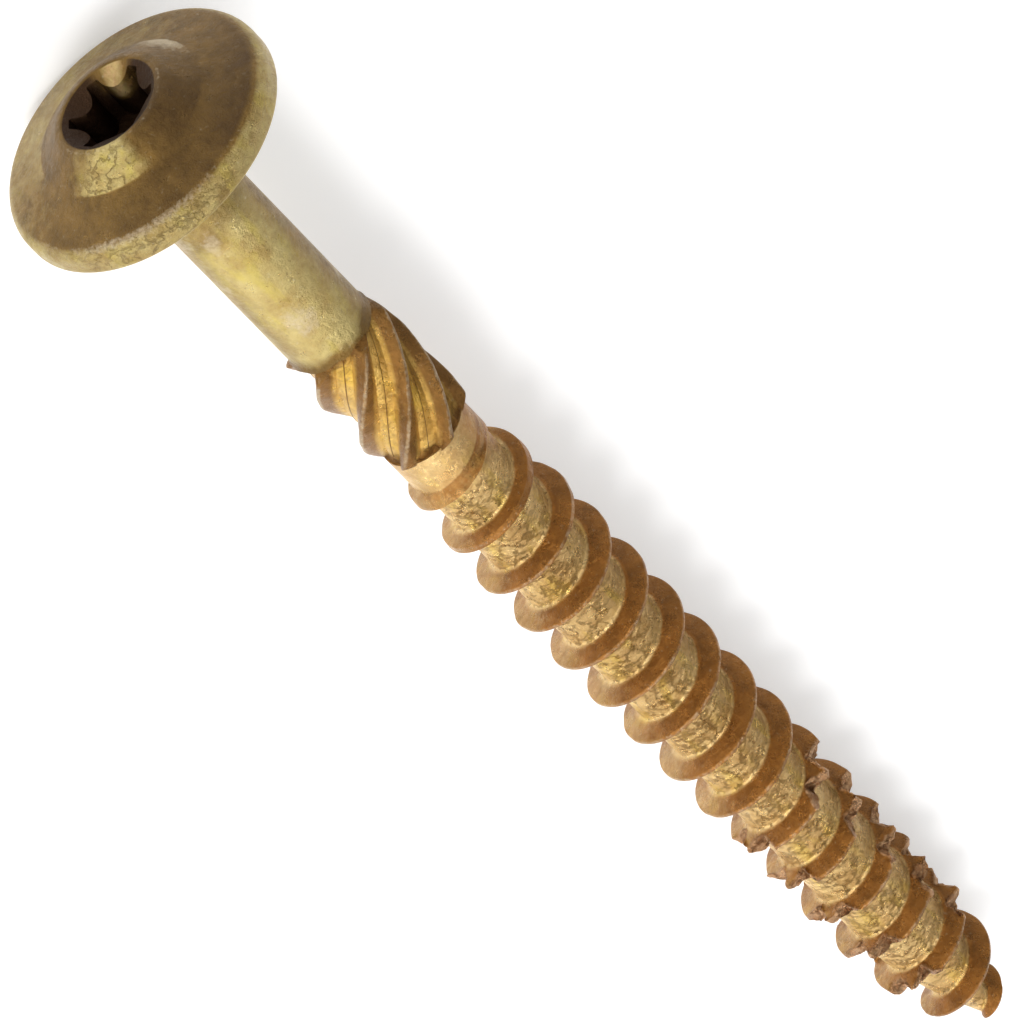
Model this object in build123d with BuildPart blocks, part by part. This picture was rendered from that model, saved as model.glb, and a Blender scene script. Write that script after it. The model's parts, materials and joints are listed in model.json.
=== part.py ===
from build123d import *
import os
from math import atan, cos, degrees, radians, sin, sqrt, tan

os.makedirs("parts", exist_ok=True)

# Washer-head lag screw, 8 x 90 mm, cold forged and thread rolled in one piece.
# It is built standing on its head: the bearing face under the flange is at
# height 0, the head is below it and the point is above. At the end it is laid
# down as it rests, on the rim of its flange and a thread crest near the point.

# whole screw
length = 91.3  # bearing face to point
shank_diameter = 5.6
root_diameter = 5.2  # between the turns of the thread

# head
flange_diameter = 17.5
rim_thickness = 1.8
rim_top_radius = 0.7
rim_under_bevel = 0.3
flange_rise = 0.35  # how much the flange's top climbs from rim to boss
boss_height = 2.15
boss_foot_diameter = 11.0
boss_top_diameter = 6.9
boss_foot_radius = 1.4
boss_top_radius = 0.3
neck_diameter = 6.8  # wide end of the cone under the flange
neck_length = 1.1

# six-lobe drive socket, No. 30
lobe_count = 6
lobe_diameter = 5.6  # across opposite lobes
land_diameter = 3.95  # across opposite lands
land_radius = 1.19
lobe_radius = 0.4
socket_depth = 3.3
mouth_diameter = 6.3
mouth_depth = 0.7  # to where the coned mouth meets the lands
drill_angle = 60.0  # half angle of the cone in the socket's floor

# reamer: steep right-hand ribs between the shank and the thread
reamer_start = 18.05
reamer_length = 10.05
reamer_diameter = 6.75
reamer_core_diameter = 3.6
reamer_lead = 26.7
rib_count = 6
rib_crest_width = 0.16
groove_radius = 2.45  # axis to the groove's two inner corners
rib_front = 14.0  # degrees from a rib's crest to the foot of its steep side
rib_back = 21.0  # degrees from a rib's crest to the foot of its gentle side
rib_phase = 11.9  # direction of one rib at the start of the reamer
rib_end_slope = 0.9  # rise of a rib's end for each unit of radius
collar_length = 2.8  # plain band between reamer and thread

# thread
thread_diameter = 8.0
thread_pitch = 4.0
crest_width = 0.3
flank_angle = 17.0
collar_overlap = 1.45  # from where the first turn points along +X to the collar's end
thread_cover = 0.85  # collar's length over the start of the thread
first_crest_diameter = 6.7
first_crest_rise = 1.25  # from the thread's start to the first crest diameter
run_in_length = 7.2  # from the first crest diameter to the full one

# tapered end
taper_length = 11.85
core_taper_length = 10.6
crest_curve = 1.6  # how late the crest draws in: 1 is early, more is later
core_curve = 1.6
crest_tip_radius = 0.35
core_tip_radius = 0.16
tip_step = 0.1  # the last crest stands this far past the core
taper_rings = 7  # sections along the tapered end

# seats that keep the thread's faces off those of the core and of each other
foot_share = 0.8  # the thread's foot is at this share of the core's radius
seam = 0.02  # the tapered turns are this much inside the straight ones
web_excess = 0.3  # web is swept this much higher, then cut to the crest

# notches through the thread near the point, in rows that lean left-handed
notch_rows = 3
notch_width = 36.0  # degrees taken by one of the two notches in a row
notch_floor_diameter = 5.7
notch_mouth_excess = 0.35  # the cutter's mouth is this far outside the crest
mouth_share = 1.1  # where the mouth ends, in notch widths from the ridge
floor_share = 0.5  # where the two floors are, in notch widths from the ridge
notch_to_point = 26.4  # start of the first row to the point
notch_length = 19.5
notch_phase = 43.0  # direction of the first row's middle at its start
notch_lead = 180.0

shank_radius = shank_diameter / 2
root_radius = root_diameter / 2
flange_radius = flange_diameter / 2
head_height = rim_thickness + flange_rise + boss_height
reamer_radius = reamer_diameter / 2
reamer_core_radius = reamer_core_diameter / 2
reamer_end = reamer_start + reamer_length
collar_end = reamer_end + collar_length
thread_radius = thread_diameter / 2
thread_zero = collar_end - collar_overlap
thread_start = collar_end - thread_cover
first_crest_height = thread_start + first_crest_rise
full_crest_height = first_crest_height + run_in_length
taper_height = length - taper_length
core_taper_height = length - core_taper_length
web_radius = thread_radius + web_excess
flank_slope = tan(radians(flank_angle))


def taper_share(height, start):
    """0 where a taper starts, 1 at the point."""
    return min(max(0.0, (height - start) / (length - start)), 1.0)


def core_radius_at(height):
    share = 1 - taper_share(height, core_taper_height) ** core_curve
    return core_tip_radius + (root_radius - core_tip_radius) * share


def crest_radius_at(height):
    share = sqrt(1 - taper_share(height, taper_height) ** crest_curve)
    return crest_tip_radius + (thread_radius - seam - crest_tip_radius) * share


# Blank: head, shank, collar and core, turned about the axis. Between shank and
# collar it is only a thin core, on which the reamer's ribs stand. The tapered
# end of the core goes through circles that shrink towards the point.
with BuildPart() as blank:
    with BuildSketch(Plane.XZ) as profile:
        Polygon(
            (0, -head_height),
            (boss_top_diameter / 2, -head_height),
            (boss_foot_diameter / 2, -rim_thickness - flange_rise),
            (flange_radius, -rim_thickness),
            (flange_radius, 0),
            (neck_diameter / 2, 0),
            (shank_radius, neck_length),
            (shank_radius, reamer_start),
            (reamer_core_radius, reamer_start),
            (reamer_core_radius, reamer_end),
            (shank_radius, reamer_end),
            (shank_radius, collar_end),
            (root_radius, collar_end),
            (root_radius, core_taper_height),
            (0, core_taper_height),
            align=None,
        )
        chamfer(profile.vertices().group_by(Axis.Y)[3].sort_by(Axis.X)[-1], rim_under_bevel)
        for level, radius in ((2, rim_top_radius), (1, boss_foot_radius), (0, boss_top_radius)):
            fillet(profile.vertices().group_by(Axis.Y)[level].sort_by(Axis.X)[-1], radius)
    revolve(axis=Axis.Z)
    for ring in range(taper_rings):
        height = core_taper_height + ring * (core_taper_length - tip_step) / (taper_rings - 1)
        with BuildSketch(Plane.XY.offset(height)):
            Circle(core_radius_at(height))
    loft()

# Drive socket: a coned mouth, six lobes and a drilled floor.
with BuildPart() as socket:
    with BuildSketch(Plane.XY.offset(-head_height)) as lobes:
        Circle(lobe_diameter / 2)
        with PolarLocations(land_diameter / 2 + land_radius, lobe_count, 180 / lobe_count):
            Circle(land_radius, mode=Mode.SUBTRACT)
        fillet(lobes.vertices(), lobe_radius)
    extrude(amount=socket_depth)
    with BuildSketch(Plane.XZ):
        Polygon(
            (0, -head_height),
            (mouth_diameter / 2, -head_height),
            (land_diameter / 2, -head_height + mouth_depth),
            (land_diameter / 2, -head_height + socket_depth),
            (0, -head_height + socket_depth + land_diameter / 2 / tan(radians(drill_angle))),
            align=None,
        )
    revolve(axis=Axis.Z)

# Reamer: pointed ribs with flat-sided grooves between them, twisted about the
# axis, and sloped down to the shank's radius at both ends.
with BuildPart() as reamer:
    with BuildLine(mode=Mode.PRIVATE) as reamer_twist:
        Helix(reamer_lead, reamer_length, reamer_radius, center=(0, 0, reamer_start))
    with BuildLine():
        Line((0, 0, reamer_start), (0, 0, reamer_end))
    with BuildSketch(Plane.XY.offset(reamer_start)):
        half_crest = degrees(rib_crest_width / reamer_diameter)
        rib_gap = 360 / rib_count
        rim = [
            (reamer_radius, -half_crest),
            (reamer_radius, half_crest),
            (groove_radius, rib_front),
            (groove_radius, rib_gap - rib_back),
            (reamer_radius, rib_gap - half_crest),
        ]
        with PolarLocations(0, rib_count, rib_phase):
            Polygon((0, 0), *[(r * cos(radians(a)), r * sin(radians(a))) for r, a in rim], align=None)
    sweep(binormal=reamer_twist.line.edge())
    with BuildSketch(Plane.XZ):
        slope = (reamer_radius - shank_radius) * rib_end_slope
        Polygon(
            (0, reamer_start),
            (shank_radius, reamer_start),
            (reamer_radius, reamer_start + slope),
            (reamer_radius, reamer_end - slope),
            (shank_radius, reamer_end),
            (0, reamer_end),
            align=None,
        )
    revolve(axis=Axis.Z, mode=Mode.INTERSECT)

# Straight part of the thread: a web with flat flanks is swept along the helix,
# higher than it ends up. It is cut down to the crest, and turned off below
# it where the thread grows out of the collar.
with BuildPart() as thread:
    with BuildLine():
        Helix(thread_pitch, taper_height - thread_zero, root_radius, center=(0, 0, thread_zero))
    with BuildSketch(Plane.XZ):
        foot_radius = root_radius * foot_share
        half_top = crest_width / 2 - web_excess * flank_slope
        half_foot = crest_width / 2 + (thread_radius - foot_radius) * flank_slope
        Polygon(
            (foot_radius, thread_zero - half_foot),
            (web_radius, thread_zero - half_top),
            (web_radius, thread_zero + half_top),
            (foot_radius, thread_zero + half_foot),
            align=None,
        )
    sweep(is_frenet=True)
    with BuildSketch(Plane.XY.offset(thread_zero - thread_pitch)):
        Circle(thread_radius)
    extrude(amount=taper_height - thread_zero + 2 * thread_pitch, mode=Mode.INTERSECT)
    with BuildSketch(Plane.XZ):
        Polygon(
            (root_radius, thread_zero - thread_pitch),
            (root_radius, thread_start),
            (first_crest_diameter / 2, first_crest_height),
            (thread_radius, full_crest_height),
            (web_radius, full_crest_height),
            (web_radius, thread_zero - thread_pitch),
            align=None,
        )
    revolve(axis=Axis.Z, mode=Mode.SUBTRACT)

# Tapered part of the thread: the shape that a cut across the axis shows, one
# lobe on a round foot, is carried along the axis, turned once for each pitch
# and drawn in towards the point. It starts half a turn inside the straight part.
with BuildPart() as tapered_thread:
    bottom = taper_height - thread_pitch / 2
    with BuildLine(mode=Mode.PRIVATE) as taper_twist:
        Helix(thread_pitch, length - bottom, thread_radius, center=(0, 0, bottom))
    with BuildLine():
        Line((0, 0, bottom), (0, 0, length))
    ring_gap = taper_length / taper_rings
    for height in [bottom] + [taper_height + ring * ring_gap for ring in range(taper_rings + 1)]:
        crest = crest_radius_at(height)
        foot = core_radius_at(height) * foot_share
        land = 180 * (crest_width - 2 * seam) / thread_pitch
        spread = land + 360 * (crest - foot) * flank_slope / thread_pitch
        flank = ((crest + foot) / 2, (land + spread) / 2)
        stops = [(crest, -land), (crest, 0), (crest, land), flank, (foot, spread)]
        stops += [(foot, 180), (foot, -spread), (flank[0], -flank[1]), (crest, -land)]
        outline = [(r * cos(radians(a)), r * sin(radians(a))) for r, a in stops]
        turn = 360 * (height - thread_zero) / thread_pitch
        with BuildSketch(Plane.XY.offset(height).rotated((0, 0, turn))):
            with BuildLine():
                for first in (0, 2, 4, 6):
                    ThreePointArc(*outline[first : first + 3])
            make_face()
    sweep(multisection=True, binormal=taper_twist.line.edge())

# Notches: each row is a pair of V grooves side by side, with a ridge between.
with BuildPart() as notches:
    for row in range(notch_rows):
        start = length - notch_to_point + row * thread_pitch / notch_rows
        with BuildLine(mode=Mode.PRIVATE) as notch_twist:
            Helix(notch_lead, notch_length, thread_radius, center=(0, 0, start), lefthand=True)
        with BuildLine():
            Line((0, 0, start), (0, 0, start + notch_length))
        mouth = thread_radius + notch_mouth_excess
        floor = notch_floor_diameter / 2
        side = [(thread_radius, 0), (floor, floor_share), (mouth, mouth_share)]
        marks = [(r, -a) for r, a in side[:0:-1]] + side + [(2 * mouth, 0)]
        cut = [(r * cos(radians(a * notch_width)), r * sin(radians(a * notch_width))) for r, a in marks]
        turn = notch_phase + row * 360 / notch_rows
        with BuildSketch(Plane.XY.offset(start).rotated((0, 0, turn))):
            Polygon(*cut, align=None)
        sweep(binormal=notch_twist.line.edge())

with BuildPart() as standing:
    add(blank.part)
    add(tapered_thread.part)
    add(thread.part)
    add(notches.part, mode=Mode.SUBTRACT)
    add(reamer.part)
    add(socket.part, mode=Mode.SUBTRACT)

# Laid down: the point along +X and a little lower than the head.
rest_tilt = atan((flange_radius - thread_radius) / taper_height)
lying = Plane(origin=(0, 0, 0), x_dir=(0, 1, 0), z_dir=(cos(rest_tilt), 0, -sin(rest_tilt)))
with BuildPart(lying) as lag_screw:
    add(standing.part)
lag_screw.part.label = "lag_screw"
export_step(lag_screw.part, "parts/lag_screw.step")
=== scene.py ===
import json
from math import atan2, cos, degrees, pi, radians, sin, sqrt, tan

import bmesh
import bpy
from mathutils import Matrix, Quaternion, Vector, noise


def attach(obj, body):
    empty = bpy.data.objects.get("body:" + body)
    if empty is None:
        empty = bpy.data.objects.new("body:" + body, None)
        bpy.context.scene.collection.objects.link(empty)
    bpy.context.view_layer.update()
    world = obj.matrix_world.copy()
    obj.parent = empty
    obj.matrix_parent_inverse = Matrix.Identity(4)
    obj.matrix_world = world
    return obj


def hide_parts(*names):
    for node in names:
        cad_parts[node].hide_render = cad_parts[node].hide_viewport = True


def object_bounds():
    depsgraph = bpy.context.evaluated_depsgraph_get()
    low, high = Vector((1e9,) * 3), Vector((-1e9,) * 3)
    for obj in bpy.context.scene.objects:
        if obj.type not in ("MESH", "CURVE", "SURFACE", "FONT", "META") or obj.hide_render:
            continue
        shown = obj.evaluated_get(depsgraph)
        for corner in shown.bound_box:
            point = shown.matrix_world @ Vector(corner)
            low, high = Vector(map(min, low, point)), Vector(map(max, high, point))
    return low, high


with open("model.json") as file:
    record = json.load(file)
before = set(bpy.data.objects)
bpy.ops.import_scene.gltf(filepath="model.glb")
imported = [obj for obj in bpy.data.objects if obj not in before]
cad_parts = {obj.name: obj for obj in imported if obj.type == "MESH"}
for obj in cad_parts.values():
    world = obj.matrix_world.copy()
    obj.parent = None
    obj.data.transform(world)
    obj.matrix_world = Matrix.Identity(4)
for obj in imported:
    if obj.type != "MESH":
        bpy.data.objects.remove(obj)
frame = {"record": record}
cad_low, cad_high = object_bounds()

# Head and shank: a thin washer head cold forged from steel wire, with a coned
# boss round a six-lobe drive socket, a short cone under the flange, and a plain
# shank that ends in a ragged lip where the reamer's grooves were rolled.
head_columns = 288
head_height = 4.3
mouth_radius = 3.2
mouth_slope = 0.6
mouth_bevel = 0.1
boss_top_radius = 3.52
boss_foot = (5.5, -2.85)
flange_radius = 8.74
rim_thickness = 1.8
neck_radius = 3.4
neck_length = 1.1
shank_radius = 2.8
shank_start = 2.0
shank_rows = 16
shank_end = 18.05
lip_reach = 0.35
lip_overhang = 0.12
lip_round = 0.1
lip_band = 0.5
lip_ragged = 0.45
end_face_radius = 1.4
lobe_radius = 2.8
land_centre = 3.165
land_round = 1.19
land_blend = 0.12
land_direction = -57.0
socket_floor = -1.0
socket_rows = 6
drill_point = [(0.0, -0.05), (1.3, -0.55), (1.9, socket_floor)]
on_ring = 0.01


def turned(profile, columns):
    """Spins (radius, height) stops into a closed solid of revolution."""
    bm = bmesh.new()
    chain = [bm.verts.new((radius, 0, height)) for radius, height in profile]
    edges = [bm.edges.new(pair) for pair in zip(chain, chain[1:])]
    bmesh.ops.spin(
        bm,
        geom=chain + edges,
        cent=(0, 0, 0),
        axis=(0, 0, 1),
        angle=2 * pi,
        steps=columns,
        use_merge=True,
    )
    bmesh.ops.remove_doubles(bm, verts=bm.verts, dist=1e-5)
    return bm


def polar(vert):
    """A vert's distance from the screw's axis, and its direction round it."""
    return sqrt(vert.co.x ** 2 + vert.co.y ** 2), atan2(vert.co.y, vert.co.x)


def set_polar(vert, radius, angle, height):
    vert.co = (radius * cos(angle), radius * sin(angle), height)


def ring_edges(bm, radius, height):
    """The edges of the ring at one radius and height."""
    ring = set()
    for vert in bm.verts:
        if abs(polar(vert)[0] - radius) < on_ring and abs(vert.co.z - height) < on_ring:
            ring.add(vert)
    return [edge for edge in bm.edges if edge.verts[0] in ring and edge.verts[1] in ring]


def socket_radius(angle):
    """Radius of the six-lobe outline: a circle with six round lands in it."""
    step = radians(60)
    off = (angle - radians(land_direction) + step / 2) % step - step / 2
    reach = land_round ** 2 - (land_centre * sin(off)) ** 2
    if reach <= 0:
        return lobe_radius
    land = land_centre * cos(off) - sqrt(reach)
    mixed = max(land_blend - abs(land - lobe_radius), 0.0) / land_blend
    return min(land, lobe_radius) - mixed * mixed * land_blend / 4


# The piece stands in millimetres here, with the bearing face at height 0, the
# head below it and the point up. The socket's wall starts as a plain cylinder.
wall_top = -head_height + (mouth_radius - lobe_radius) * mouth_slope
wall_height = wall_top - socket_floor
head_profile = [*drill_point, (lobe_radius, socket_floor)]
for row in range(1, socket_rows + 1):
    head_profile.append((lobe_radius, socket_floor + wall_height * row / socket_rows))
head_profile += [
    (mouth_radius - mouth_bevel, -head_height + mouth_bevel * mouth_slope),
    (mouth_radius, -head_height),
    (boss_top_radius, -head_height),
    boss_foot,
    (flange_radius, -rim_thickness),
    (flange_radius, 0.0),
    (neck_radius, 0.0),
    (shank_radius, neck_length),
    *((shank_radius, shank_start + row) for row in range(shank_rows)),
    (shank_radius, shank_end - lip_reach),
    (shank_radius + lip_overhang, shank_end),
    (shank_radius - lip_round, shank_end + lip_overhang),
    (end_face_radius, shank_end + lip_overhang),
    (0.0, shank_end + lip_overhang),
]
head = turned(head_profile, head_columns)

# each rounded ring: where it is, how far the rounding reaches, and its segments
roundings = [
    ((boss_top_radius, -head_height), 0.28, 5),
    (boss_foot, 0.5, 6),
    ((flange_radius, -rim_thickness), 0.75, 8),
    ((flange_radius, 0.0), 0.35, 4),
    ((neck_radius, 0.0), 0.12, 2),
    ((shank_radius, neck_length), 0.5, 4),
    ((mouth_radius, -head_height), 0.05, 2),
]
for (radius, height), reach, segments in roundings:
    bmesh.ops.bevel(
        head,
        geom=ring_edges(head, radius, height),
        offset=reach,
        segments=segments,
        profile=0.5,
        affect="EDGES",
        material=-1,
    )
for vert in head.verts:
    radius, angle = polar(vert)
    if vert.co.z < socket_floor + on_ring and abs(radius - lobe_radius) <= on_ring:
        outline = socket_radius(angle)
        top = -head_height + (mouth_radius - outline) * mouth_slope
        share = (vert.co.z - socket_floor) / wall_height
        set_polar(vert, outline, angle, socket_floor + (top - socket_floor) * share)

# Wear, painted shade and painted highlights on the head, as shares on each vert that
# the plating reads. A place round the screw is a direction and a spread in degrees, and 90 faces up.
boss_highlight_patch = (128, 46)
boss_painted_shade = (52, 66)
boss_foot_rub = (-26, 50)
rim_dark_side = (25, 85)
rim_painted_highlight = (118, 80)
land_painted_light = (land_direction, 34)
land_painted_light_end = -2.6
shank_painted_shade = (22, 62)
shank_back_painted_shade = (160, 42)
neck_painted_reflection = (160, 48)


def smooth_step(low, high, value):
    """0 up to low, 1 from high on, and smooth between them."""
    share = min(max((value - low) / (high - low), 0.0), 1.0)
    return share * share * (3 - 2 * share)


def degrees_off(angle, middle):
    """How far an angle in radians is from a direction in degrees, in degrees."""
    return abs((degrees(angle) - middle + 180) % 360 - 180)


def near(angle, middle, spread):
    """1 at a direction in degrees, falling to 0 at spread degrees from it."""
    return 1 - smooth_step(0, spread, degrees_off(angle, middle))


# the four shares: the thick brown film at 1, and painted shade, with nearly black painted
# shade at 2; bare zinc where edges are worn, and painted highlights and reflections; raw
# steel; and a wrinkled, creased film
def wear_layers(bm):
    return {name: bm.verts.layers.float.new(name) for name in ("brown", "rubbed_and_lit", "torn", "crinkled")}


wear = wear_layers(head)
for vert in head.verts:
    radius, angle = polar(vert)
    height = vert.co.z
    wander = noise.noise(vert.co * 0.6)
    # the lip at the end of the shank, pushed up unevenly and gone brown
    if height > shank_end - lip_band and radius > 2.0:
        ragged = lip_ragged * noise.noise(Vector((cos(angle) * 2.3, sin(angle) * 2.3, 4.0)))
        vert.co.z += ragged * smooth_step(shank_end - lip_band, shank_end, height)
        film_start = shank_end - 0.75
        vert[wear["brown"]] = 1.1 * smooth_step(film_start, film_start + 0.45, height + 0.5 * wander)
    # the shank: a brown painted shadow of the flange just under it, with a pale painted
    # reflection of the flange's underside on one side, painted shade down two sides, and
    # scuffed patches below
    elif height >= 0:
        band_edge = 6.0 + 1.6 * (1 - sin(angle))
        flange_shadow_band = 1 - smooth_step(band_edge - 0.7, band_edge + 0.5, height + 0.8 * wander)
        side_painted_shade = 0.8 * near(angle, *shank_painted_shade) + 0.5 * near(angle, *shank_back_painted_shade)
        patches = noise.noise(Vector((vert.co.x * 0.5, vert.co.y * 0.5, height * 0.4 + 3)))
        scuffed = 0.7 * smooth_step(0.18, 0.5, patches)
        vert[wear["brown"]] = max(0.62 * flange_shadow_band, side_painted_shade)
        vert[wear["rubbed_and_lit"]] = max(0.7 * flange_shadow_band * near(angle, *neck_painted_reflection), scuffed)
        vert[wear["crinkled"]] = 0.12
    # the flange: a brown top with painted shade, darker towards the side that faces up,
    # a darker ring inside its rim on one side, a rim worn to gold, and a worn edge with
    # a painted highlight along one side
    on_top = height < -0.2 and radius > boss_top_radius - 0.4
    if on_top and radius > boss_foot[0] - 0.1:
        top_film_and_shade = 1.0 + 0.38 * sin(angle) + 0.14 * cos(angle) + 0.2 * wander
        dark_ring = smooth_step(7.4, 8.0, radius) * (1 - smooth_step(8.0, 8.3, radius))
        top_film_and_shade += 0.3 * dark_ring * near(angle, *rim_dark_side)
        rim = smooth_step(8.1, 8.6, radius)
        worn_and_lit_rim = smooth_step(7.95, 8.25, radius) * (1 - 0.5 * smooth_step(8.4, 8.7, radius))
        vert[wear["brown"]] = top_film_and_shade * (1 - rim) + 0.42 * rim
        vert[wear["rubbed_and_lit"]] = worn_and_lit_rim * (0.25 + 0.38 * near(angle + 0.4 * wander, *rim_painted_highlight))
        vert[wear["crinkled"]] = 0.8 * rim
    # the boss: brown film with painted shade on one side, a creased patch painted bright
    # as a highlight with a pale edge, and a rubbed foot
    elif on_top:
        lit_creased_patch = near(angle + 0.25 * wander, *boss_highlight_patch)
        lit_patch_edge = 0.5 * lit_creased_patch * smooth_step(5.2, 5.45, radius)
        foot_wear = smooth_step(4.3, 5.2, radius + 0.5 * wander) * near(angle, *boss_foot_rub)
        vert[wear["brown"]] = 1.15 - 1.25 * lit_creased_patch + 0.45 * near(angle, *boss_painted_shade)
        vert[wear["rubbed_and_lit"]] = max(0.95 * foot_wear, lit_patch_edge)
        vert[wear["crinkled"]] = 1.3 * lit_creased_patch
    # the edge round the mouth, rubbed by the bit
    mouth_edge = max(0.0, 1 - abs(radius - boss_top_radius + 0.1) / 0.3) * (height < -3.9)
    vert[wear["rubbed_and_lit"]] = max(vert[wear["rubbed_and_lit"]], 0.5 * mouth_edge)
    # the socket: nearly black painted shade, with one land painted bright and orange as lit
    if height < -0.01 and radius < mouth_radius - 0.08:
        lit_land = near(angle, *land_painted_light) * (height < land_painted_light_end)
        vert[wear["brown"]] = 1.98 - 1.9 * lit_land
        vert[wear["torn"]] = 0.5 * lit_land
        vert[wear["rubbed_and_lit"]] = 0.25 * lit_land

# Lying down: the screw rests on the rim of its flange and a crest near the
# point, so the standing piece is laid along the axis that the record gives.
mounts = {mount["name"]: mount for mount in frame["record"]["mounts"]}
axis = Vector(mounts["shank"]["axis"])
across = Vector((0, 1, 0))
turned_down = Matrix((across, axis.cross(across), axis)).transposed().to_4x4()
laid = turned_down @ Matrix.Scale(0.001, 4)
sharp_edge_angle = radians(38)


def lay_down(bm, name):
    """Turns a standing mesh into a piece that lies on the floor, in metres."""
    bmesh.ops.recalc_face_normals(bm, faces=bm.faces)
    bmesh.ops.transform(bm, matrix=laid, verts=bm.verts)
    mesh = bpy.data.meshes.new(name)
    bm.to_mesh(mesh)
    bm.free()
    for polygon in mesh.polygons:
        polygon.use_smooth = True
    mesh.set_sharp_from_angle(angle=sharp_edge_angle)
    piece = bpy.data.objects.new(name, mesh)
    bpy.context.scene.collection.objects.link(piece)
    return piece


# Plating: yellow chromate over zinc. It is olive gold where it is bright and brown
# where it is thick, it cracks where it is crinkled, and it is pale where the edges
# have rubbed through to zinc. The brown and nearly black shares also carry painted
# shade, and the pale share painted highlights and reflections.
black_film_and_shade = (0.045, 0.022, 0.01, 1)
torn_steel = (0.56, 0.34, 0.18, 1)
torn_shadow = (0.34, 0.165, 0.07, 1)
crease_line = (0.2, 0.11, 0.035, 1)
dirt_speck = (0.08, 0.045, 0.016, 1)
pale_fleck = (0.66, 0.6, 0.44, 1)
zinc_and_highlight = (0.62, 0.52, 0.36, 1)


def grey(level):
    return (level, level, level, 1)


def tinted(colour, red, green, blue):
    """A colour with each channel taken down by its own share."""
    return (colour[0] * red, colour[1] * green, colour[2] * blue, 1)


def add_node(tree, kind, **settings):
    made = tree.nodes.new("ShaderNode" + kind)
    for key, value in settings.items():
        setattr(made, key, value)
    return made


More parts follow.
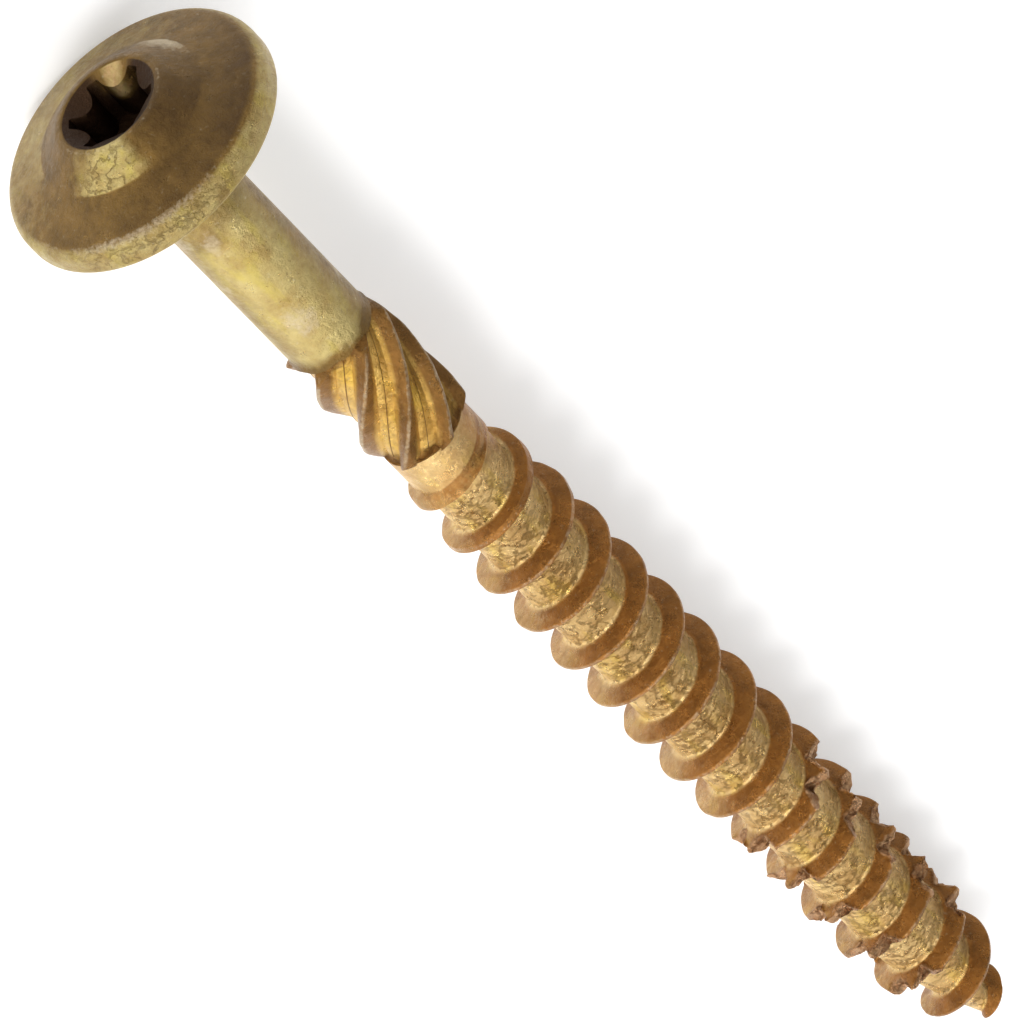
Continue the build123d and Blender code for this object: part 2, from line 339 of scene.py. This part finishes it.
def plating(name, bright, brown, grain, pits, crinkle, sheen):
    """Plated steel: two colours, the grain's scale, two depths and the least roughness."""
    material = bpy.data.materials.new(name)
    material.use_nodes = True
    tree = material.node_tree
    join = tree.links.new
    shader = tree.nodes["Principled BSDF"]

    # object coordinates turned so that Z runs along the screw, in millimetres
    place = add_node(tree, "TexCoord")
    along = add_node(tree, "Mapping")
    along.inputs["Rotation"].default_value = (0, -pi / 2 - atan2(-axis.z, axis.x), 0)
    along.inputs["Scale"].default_value = (1000, 1000, 1000)
    join(place.outputs["Object"], along.inputs["Vector"])

    def cloud(scale, detail, rough, stretch=(1, 1, 1)):
        spread = add_node(tree, "Mapping")
        spread.inputs["Scale"].default_value = stretch
        join(along.outputs["Vector"], spread.inputs["Vector"])
        made = add_node(tree, "TexNoise")
        made.inputs["Scale"].default_value = scale
        made.inputs["Detail"].default_value = detail
        made.inputs["Roughness"].default_value = rough
        join(spread.outputs["Vector"], made.inputs["Vector"])
        return made.outputs["Fac"]

    def ramp(source, low, high, start=grey(0), end=grey(1)):
        made = add_node(tree, "ValToRGB")
        first, last = made.color_ramp.elements
        first.position = low
        first.color = start
        last.position = high
        last.color = end
        join(source, made.inputs["Fac"])
        return made.outputs["Color"]

    def mix(share, first, second):
        made = add_node(tree, "Mix", data_type="RGBA")
        for value, socket in ((share, 0), (first, 6), (second, 7)):
            if isinstance(value, tuple):
                made.inputs[socket].default_value = value
            else:
                join(value, made.inputs[socket])
        return made.outputs[2]

    def combine(kind, *terms):
        made = add_node(tree, "Math", operation=kind)
        for socket, term in zip(made.inputs, terms):
            if isinstance(term, (int, float)):
                socket.default_value = term
            else:
                join(term, socket)
        return made.outputs[0]

    def times(first, second):
        return combine("MULTIPLY", first, second)

    def plus(first, second):
        return combine("ADD", first, second)

    def minus(first, second):
        return combine("SUBTRACT", first, second)

    def share_of(layer):
        return add_node(tree, "Attribute", attribute_name=layer).outputs["Fac"]

    def ragged(source, wander, amount, low, high):
        """A share whose edge wanders with a noise."""
        return ramp(plus(source, times(minus(wander, 0.5), amount)), low, high)

    film_and_shade = share_of("brown")
    rubbed_and_lit = share_of("rubbed_and_lit")
    torn = share_of("torn")
    crinkled = share_of("crinkled")

    # gold: amber and lemon blotches, and stains drawn out along the screw
    amber = tinted(bright, 0.74, 0.64, 0.52)
    lemon = tinted(bright, 0.98, 0.97, 0.5)
    blotch = ramp(cloud(0.5, 7, 0.66), 0.4, 0.66)
    streak = ramp(cloud(0.8, 5, 0.6, (1, 1, 0.35)), 0.52, 0.66)
    stain = ramp(cloud(1.7, 8, 0.72, (1, 1, 0.6)), 0.52, 0.74)
    gold = mix(blotch, bright, amber)
    gold = mix(times(streak, 0.6), gold, lemon)
    gold = mix(times(stain, 0.42), gold, brown)

    # brown film and painted shade over the gold, then nearly black painted shade, deepest in the drive
    deep = tinted(brown, 0.62, 0.62, 0.62)
    film_colour = mix(ramp(cloud(0.9, 8, 0.66), 0.38, 0.66), brown, deep)
    filmed_and_shaded = ragged(film_and_shade, cloud(2.2, 6, 0.65), 0.6, 0.15, 0.9)
    shade_blackened = ragged(minus(film_and_shade, 1.0), cloud(1.3, 6, 0.6), 0.35, 0.05, 0.95)
    colour = mix(filmed_and_shaded, gold, film_colour)
    colour = mix(shade_blackened, colour, black_film_and_shade)

    # torn steel, crease lines, specks of dirt, pale flecks, and bare zinc that also carries painted
    # highlights
    tear = mix(ramp(cloud(1.8, 7, 0.7), 0.4, 0.62), torn_steel, torn_shadow)
    tear_share = ragged(torn, cloud(2.6, 6, 0.7), 0.8, 0.3, 0.75)
    ridge = combine("ABSOLUTE", minus(cloud(0.85, 5, 0.62, (1, 1, 1.7)), 0.5))
    crease = times(ramp(ridge, 0.0, 0.035, grey(1), grey(0)), crinkled)
    speck = ramp(cloud(4.6, 4, 0.55), 0.64, 0.74)
    fleck = ramp(cloud(3.1, 6, 0.62), 0.62, 0.76)
    fleck_share = times(fleck, minus(0.5, times(film_and_shade, 0.22)))
    bare_and_lit = ragged(rubbed_and_lit, cloud(3.2, 7, 0.7), 1.2, 0.42, 0.95)
    colour = mix(tear_share, colour, tear)
    colour = mix(times(crease, 0.4), colour, crease_line)
    colour = mix(times(speck, 0.34), colour, dirt_speck)
    colour = mix(fleck_share, colour, pale_fleck)
    colour = mix(times(bare_and_lit, 0.78), colour, zinc_and_highlight)
    join(colour, shader.inputs["Base Color"])

    # relief: rolling grain, wrinkles and creases in the film, and pits that the
    # brown film partly fills
    wrinkle = times(cloud(1.5, 7, 0.68, (1, 1, 2.4)), crinkled)
    pit = times(ramp(cloud(3.0, 4, 0.55), 0.58, 0.82), minus(1.0, times(film_and_shade, 0.6)))
    relief = times(cloud(grain, 9, 0.72), 1.6)
    relief = plus(relief, times(wrinkle, crinkle))
    relief = minus(relief, times(crease, 0.5 * crinkle))
    relief = minus(relief, times(pit, pits))
    bump = add_node(tree, "Bump")
    bump.inputs["Strength"].default_value = 0.9
    bump.inputs["Distance"].default_value = 0.00012
    join(relief, bump.inputs["Height"])
    join(bump.outputs["Normal"], shader.inputs["Normal"])

    rough = ramp(cloud(1.1, 6, 0.7), 0.3, 0.75, grey(sheen), grey(sheen + 0.22))
    join(rough, shader.inputs["Roughness"])
    shader.inputs["Metallic"].default_value = 0.92
    return material


bright_plating = plating(
    "bright_plating",
    bright=(0.58, 0.465, 0.19, 1),
    brown=(0.225, 0.13, 0.036, 1),
    grain=2.6,
    pits=0.4,
    crinkle=1.4,
    sheen=0.24,
)
head_and_shank = lay_down(head, "head_and_shank")
head_and_shank.data.materials.append(bright_plating)
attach(head_and_shank, "root")
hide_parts("lag_screw")

# Reamer: six steep right-hand ribs rolled into the wire between shank and
# thread. Their sides are brown, and the flat bright floors between them each
# have a dark crease where the rolled metal folded.
rib_count = 6
rib_phase = 11.9
rib_radius = 3.375
rib_crown = 0.03
rib_half_crest = 2.2
rib_front = 14.0
rib_front_steps = 5
rib_back = 21.0
rib_back_steps = 7
rib_dent = 0.07
groove_radius = 2.45
groove_floor = [(-0.03, 5.0), (-0.03, 11.0), (-0.13, 12.2), (0.03, 13.4), (0.02, 19.0)]
reamer_lead = 26.7
reamer_end = 28.1
reamer_rows = 150
reamer_foot_radius = shank_radius - 0.15
reamer_end_radius = shank_radius + 0.02
rib_painted_shade = (0, 80)
rib_painted_light = (175, 45)


def rib_outline():
    """(radius, degrees) stops round one rib and the groove after it."""
    depth = rib_radius - groove_radius
    stops = [
        (rib_radius - rib_crown, -rib_half_crest),
        (rib_radius, 0.0),
        (rib_radius - rib_crown, rib_half_crest),
    ]
    for step in range(1, rib_front_steps + 1):
        share = step / rib_front_steps
        stops.append((rib_radius - depth * share, rib_half_crest + (rib_front - rib_half_crest) * share))
    for deeper, off in groove_floor:
        stops.append((groove_radius + deeper, rib_front + off))
    back_foot = 360 / rib_count - rib_back
    for step in range(rib_back_steps):
        share = step / rib_back_steps
        stops.append((groove_radius + depth * share, back_foot + (rib_back - rib_half_crest) * share))
    return stops


reamer = bmesh.new()
ring = []
for rib in range(rib_count):
    for radius, off in rib_outline():
        angle = radians(rib_phase + rib * 360 / rib_count + off)
        ring.append(reamer.verts.new((radius * cos(angle), radius * sin(angle), shank_end)))
loop = [reamer.edges.new((ring[stop - 1], ring[stop])) for stop in range(len(ring))]
reamer_length = reamer_end - shank_end
bmesh.ops.spin(
    reamer,
    geom=ring + loop,
    cent=(0, 0, 0),
    axis=(0, 0, 1),
    angle=2 * pi * reamer_length / reamer_lead,
    dvec=(0, 0, reamer_length / reamer_rows),
    steps=reamer_rows,
)

# the ribs rise unevenly out of the shank, fall to the collar, and are dented;
# their crests carry a painted highlight, their sides are brown with painted shade
# on one side and painted paler on the other, the creases are darkened towards
# black, and both ends have gone brown
wear = wear_layers(reamer)
for vert in reamer.verts:
    radius, angle = polar(vert)
    height = vert.co.z
    from_head = height - shank_end
    from_end = reamer_end - height
    tall = (radius - groove_radius) / (rib_radius - groove_radius)
    uneven = 0.75 + 0.3 * noise.noise(Vector((cos(angle) * 2, sin(angle) * 2, 9.0)))
    grown = min(smooth_step(-0.1, uneven, from_head), smooth_step(0, 0.75, from_end))
    limit = reamer_foot_radius + (rib_radius - reamer_foot_radius) * grown
    filled = 1 - smooth_step(0.1, 0.8, from_end)
    radius = max(radius, groove_radius + (reamer_end_radius - groove_radius) * filled)
    dent = rib_dent * noise.noise(Vector((vert.co.x * 1.1, vert.co.y * 1.1, height * 0.7)))
    set_polar(vert, min(radius, limit) + dent * tall, angle, height)
    ends = 1 - min(smooth_step(0, 1.2, from_head), smooth_step(0.2, 1.4, from_end))
    side_film_and_shade = 0.12 + 0.45 * near(angle, *rib_painted_shade) + 0.8 * smooth_step(0.1, 0.5, tall)
    crease_dark = 1.6 * (tall < -0.1)
    crest_painted_highlight = 0.6 * smooth_step(0.82, 1.0, tall) * (1 - 0.6 * ends)
    side_painted_light = 0.22 * near(angle, *rib_painted_light) * smooth_step(0.2, 0.8, tall)
    vert[wear["brown"]] = max(side_film_and_shade, crease_dark, 1.15 * ends)
    vert[wear["rubbed_and_lit"]] = crest_painted_highlight + side_painted_light
    vert[wear["crinkled"]] = 0.5 * (1 - smooth_step(0.0, 0.4, tall)) + 0.5 * ends
bmesh.ops.holes_fill(reamer, edges=[edge for edge in reamer.edges if edge.is_boundary], sides=0)

rolled_plating = plating(
    "rolled_plating",
    bright=(0.7, 0.46, 0.13, 1),
    brown=(0.28, 0.138, 0.036, 1),
    grain=2.2,
    pits=0.12,
    crinkle=1.2,
    sheen=0.22,
)
reamer_piece = lay_down(reamer, "reamer")
reamer_piece.data.materials.append(rolled_plating)
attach(reamer_piece, "root")
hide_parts("lag_screw")

# Thread and point: a coarse right-hand thread rolled on a core behind a plain
# collar, and drawn in to a gimlet point. Three rows of double notches are torn
# through its last turns. Its flanks are brown, and the core shows crinkled gold.
pitch = 4.0
core_radius = 2.6
core_stops = 9
core_tip_radius = 0.16
core_taper_height = 80.7
thread_radius = 3.995
crest_width = 0.3
crest_shoulder = 0.97
crest_tip_radius = 0.2
flank = tan(radians(17))
flank_stops = 7
turn_steps = 132
thread_turns = 18
thread_zero = 29.45
thread_start = 30.05
cut_height = 27.7
collar_end = 30.9
first_crest_height = 31.3
first_crest_radius = 3.35
full_crest_height = 38.5
taper_height = 79.45
crest_end = 90.9
length = 91.29
point_end = length - 0.25
soft_point = 4.0
seam_reach = 0.004
notch_rows = 3
notch_start = 64.9
notch_length = 19.5
notch_phase = 43.0
notch_lead = 180.0
notch_width = 36.0
notch_floor = 2.85
notch_valley = 0.5
notch_edge = 1.1
notch_edge_radius = thread_radius + 0.35
tear_depth = 0.36
fine_tear_depth = 0.12
bend_depth = 0.65
nick_depth = 0.06
wrinkle_depth = 0.05
flank_painted_light = (185, 75)
core_painted_shade = (15, 75)


def core_at(height):
    """The core's radius: the collar, the plain core, and the taper to the point."""
    stepped = smooth_step(collar_end - 0.25, collar_end + 0.1, height)
    collar = shank_radius - (shank_radius - core_radius) * stepped
    share = min(max((height - core_taper_height) / (length - core_taper_height), 0.0), 1.0)
    return collar - (core_radius - core_tip_radius) * share ** 1.6


def crest_at(height):
    """The crest's radius: the thread grows out of the collar, then tapers."""
    if height < first_crest_height:
        share = max(height - thread_start, 0) / (first_crest_height - thread_start)
        return core_radius + (first_crest_radius - core_radius) * share
    if height < full_crest_height:
        share = (height - first_crest_height) / (full_crest_height - first_crest_height)
        return first_crest_radius + (thread_radius - first_crest_radius) * share
    share = min(max((height - taper_height) / (crest_end - taper_height), 0.0), 1.0)
    return crest_tip_radius + (thread_radius - crest_tip_radius) * sqrt(1 - share ** 1.9)


def notch_at(angle, height):
    """The largest radius that the left-leaning double notches leave at a place."""
    best = 9.0
    for row in range(notch_rows):
        start = notch_start + row * pitch / notch_rows
        if not start - 0.2 < height < start + notch_length:
            continue
        middle = notch_phase + row * 360 / notch_rows - 360 * (height - start) / notch_lead
        off = degrees_off(angle, middle) / notch_width
        if off < notch_valley:
            best = min(best, thread_radius + (notch_floor - thread_radius) * off / notch_valley)
        elif off < notch_edge:
            share = (off - notch_valley) / (notch_edge - notch_valley)
            best = min(best, notch_floor + (notch_edge_radius - notch_floor) * share)
    return best


# one pitch as (lift, height) stops, where lift is 0 on the core and 1 on the crest
half_land = crest_width / 2
half_foot = half_land + (thread_radius - core_radius) * flank
flank_height = half_foot - half_land
stops = []
for step in range(core_stops):
    stops.append((0.0, half_foot + (pitch - 2 * half_foot) * step / core_stops))
for step in range(flank_stops):
    stops.append((step / flank_stops, pitch - half_foot + flank_height * step / flank_stops))
stops += [
    (crest_shoulder, pitch - half_land),
    (1.0, pitch - half_land * 0.5),
    (1.0, pitch + half_land * 0.5),
    (crest_shoulder, pitch + half_land),
]
for step in range(1, flank_stops + 1):
    lift = 1 - step / flank_stops
    stops.append((lift, pitch + half_foot - flank_height * lift))

thread = bmesh.new()
lift_layer = thread.verts.layers.float.new("lift")
chain = []
for lift, height in stops:
    radius = core_radius + (thread_radius - core_radius) * lift
    vert = thread.verts.new((radius, 0, thread_zero - 2 * pitch + height))
    vert[lift_layer] = lift
    chain.append(vert)
edges = [thread.edges.new(pair) for pair in zip(chain, chain[1:])]
bmesh.ops.spin(
    thread,
    geom=chain + edges,
    cent=(0, 0, 0),
    axis=(0, 0, 1),
    angle=2 * pi,
    dvec=(0, 0, pitch / turn_steps),
    steps=turn_steps,
)
one_turn = thread.verts[:] + thread.edges[:] + thread.faces[:]
for turn in range(1, thread_turns):
    copied = bmesh.ops.duplicate(thread, geom=one_turn)["geom"]
    raised = [part for part in copied if isinstance(part, bmesh.types.BMVert)]
    bmesh.ops.translate(thread, verts=raised, vec=(0, 0, pitch * turn))
bmesh.ops.remove_doubles(thread, verts=thread.verts, dist=seam_reach)
for height, outward in ((cut_height, -1), (point_end, 1)):
    bmesh.ops.bisect_plane(
        thread,
        geom=thread.verts[:] + thread.edges[:] + thread.faces[:],
        dist=1e-5,
        plane_co=(0, 0, height),
        plane_no=(0, 0, outward),
        clear_outer=True,
    )

# the thread takes its crest and core at each height, is torn at the notches,
# and is nicked and bent where it is thin
wear = wear_layers(thread)
for vert in thread.verts:
    radius, angle = polar(vert)
    height = vert.co.z
    lift = vert[lift_layer]
    core = core_at(height)
    crest = crest_at(height)
    if height > full_crest_height:
        shaped = core + (crest - core) * lift
    else:
        shaped = max(min(radius, crest), core)
    spot = vert.co.copy()
    tear = tear_depth * noise.noise(spot * 1.5 + Vector((0, 0, 20)))
    tear += fine_tear_depth * noise.noise(spot * 3.7)
    notched = notch_at(angle, height) + tear
    broken = smooth_step(-0.45, 0.1, shaped - notched)
    shaped = max(min(shaped, notched), core)
    off_collar = smooth_step(collar_end + 0.3, collar_end + 1.5, height)
    nick = nick_depth * max(0.0, noise.noise(spot * 0.9)) * lift
    wrinkle = noise.noise(Vector((spot.x * 0.9, spot.y * 0.9, height * 2.2)))
    wrinkle *= wrinkle_depth * (1 - lift) * off_collar
    bent = bend_depth * broken * lift * noise.noise(spot * 1.3 + Vector((7, 0, 0)))
    calmed = min(1.0, (length - height) / soft_point)
    set_polar(vert, shaped - nick + wrinkle * calmed, angle, height + bent * calmed)
    torn = broken * smooth_step(0.1, 0.35, lift)
    # the flanks are brown but painted paler on one side as lit, the core has painted shade on the other
    # side, and the crests carry a painted highlight
    flank_film_and_light = smooth_step(0.02, 0.25, lift) * (1 - 0.4 * near(angle, *flank_painted_light))
    flank_film_and_light *= 0.4 + 0.6 * smooth_step(31.5, 34, height)
    core_side_shade = 0.45 * near(angle, *core_painted_shade) * (1 - lift)
    end_film = 0.1 * smooth_step(60, 88, height) + 0.4 * (1 - off_collar)
    crest_painted_highlight = 0.5 * smooth_step(0.93, 1.0, lift) * (1 - torn) * smooth_step(31, 36, height)
    vert[wear["brown"]] = flank_film_and_light + core_side_shade + end_film
    vert[wear["rubbed_and_lit"]] = max(crest_painted_highlight, 0.22 * torn)
    vert[wear["torn"]] = torn
    vert[wear["crinkled"]] = max(off_collar * (1 - smooth_step(0.0, 0.12, lift)), 0.8 * torn)
bmesh.ops.holes_fill(thread, edges=[edge for edge in thread.edges if edge.is_boundary], sides=0)

thread_plating = plating(
    "thread_plating",
    bright=(0.86, 0.625, 0.28, 1),
    brown=(0.34, 0.145, 0.032, 1),
    grain=2.0,
    pits=0.12,
    crinkle=3.2,
    sheen=0.2,
)
thread_and_point = lay_down(thread, "thread_and_point")
thread_and_point.data.materials.append(thread_plating)
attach(thread_and_point, "root")
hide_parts("lag_screw")

# Floor: a plain pale sheet of paper that the screw lies on. It looks white to
# the camera and in reflections, and still takes the screw's soft shadow.
floor_size = 4.0
screw_middle = Vector((0.04, 0, 0))
paper_glow = 0.36
bpy.ops.mesh.primitive_plane_add(size=floor_size, location=(screw_middle.x, 0, cad_low.z))
floor = bpy.context.object
floor.name = "floor"
paper = bpy.data.materials.new("pale_floor")
paper.use_nodes = True
tree = paper.node_tree
sheet = tree.nodes["Principled BSDF"]
sheet.inputs["Base Color"].default_value = grey(0.8)
sheet.inputs["Roughness"].default_value = 0.9
sheet.inputs["Specular IOR Level"].default_value = 0.0
rays = add_node(tree, "LightPath")
seen = add_node(tree, "Math", operation="ADD", use_clamp=True)
seen_through = add_node(tree, "Math", operation="ADD", use_clamp=True)
glow_level = add_node(tree, "Math", operation="MULTIPLY")
glow_level.inputs[1].default_value = paper_glow
glow = add_node(tree, "Emission")
both = add_node(tree, "AddShader")
for source, target in (
    (rays.outputs["Is Camera Ray"], seen.inputs[0]),
    (rays.outputs["Is Glossy Ray"], seen.inputs[1]),
    (seen.outputs[0], seen_through.inputs[0]),
    (rays.outputs["Is Transmission Ray"], seen_through.inputs[1]),
    (seen_through.outputs[0], glow_level.inputs[0]),
    (glow_level.outputs[0], glow.inputs["Strength"]),
    (sheet.outputs[0], both.inputs[0]),
    (glow.outputs[0], both.inputs[1]),
    (both.outputs[0], tree.nodes["Material Output"].inputs["Surface"]),
):
    tree.links.new(source, target)
floor.data.materials.append(paper)

# Studio: a pale room that is darker on one side of the screw, a large soft
# lamp above the head and a weaker one from the other side.
dark_side = Vector((-0.3, 0.92, 0.0)).normalized()
world = bpy.data.worlds.new("pale_room")
bpy.context.scene.world = world
world.use_nodes = True
tree = world.node_tree
sky = add_node(tree, "TexCoord")
towards_dark = add_node(tree, "VectorMath", operation="DOT_PRODUCT")
towards_dark.inputs[1].default_value = dark_side
fade = add_node(tree, "ValToRGB")
pale, dark = fade.color_ramp.elements
pale.position = 0.0
pale.color = grey(0.95)
dark.position = 0.62
dark.color = grey(0.2)
tree.links.new(sky.outputs["Generated"], towards_dark.inputs[0])
tree.links.new(towards_dark.outputs["Value"], fade.inputs["Fac"])
tree.links.new(fade.outputs["Color"], tree.nodes["Background"].inputs["Color"])

# each lamp: its name, its place and width in metres, and its power in watts
for name, place, width, power in (
    ("key_lamp", (-0.1, -0.3, 0.5), 0.2, 1.9),
    ("fill_lamp", (0.3, -0.25, 0.3), 0.25, 0.8),
):
    light = bpy.data.lights.new(name, "AREA")
    light.size = width
    light.energy = power
    lamp = bpy.data.objects.new(name, light)
    lamp.location = place
    lamp.rotation_euler = (Vector(place) - screw_middle).to_track_quat("Z", "Y").to_euler()
    bpy.context.scene.collection.objects.link(lamp)

# Camera: above and behind the head, looking down along the screw through a
# long lens, and rolled so that the head is at the upper left.
camera_distance = 0.6539
camera_elevation = radians(54.76)
camera_heading = radians(0.685)
camera_roll = radians(134.93)
camera_lens = 394.5
aim = axis * 0.03656
view = Vector((
    cos(camera_elevation) * cos(camera_heading),
    cos(camera_elevation) * sin(camera_heading),
    -sin(camera_elevation),
))
camera_data = bpy.data.cameras.new("camera")
camera_data.lens = camera_lens
camera_data.clip_start = 0.01
camera = bpy.data.objects.new("camera", camera_data)
camera.location = aim - view * camera_distance
level = (-view).to_track_quat("Z", "Y")
camera.rotation_euler = (level @ Quaternion((0, 0, 1), camera_roll)).to_euler()
bpy.context.scene.collection.objects.link(camera)
bpy.context.scene.camera = camera
bpy.context.scene.view_settings.view_transform = "Standard"
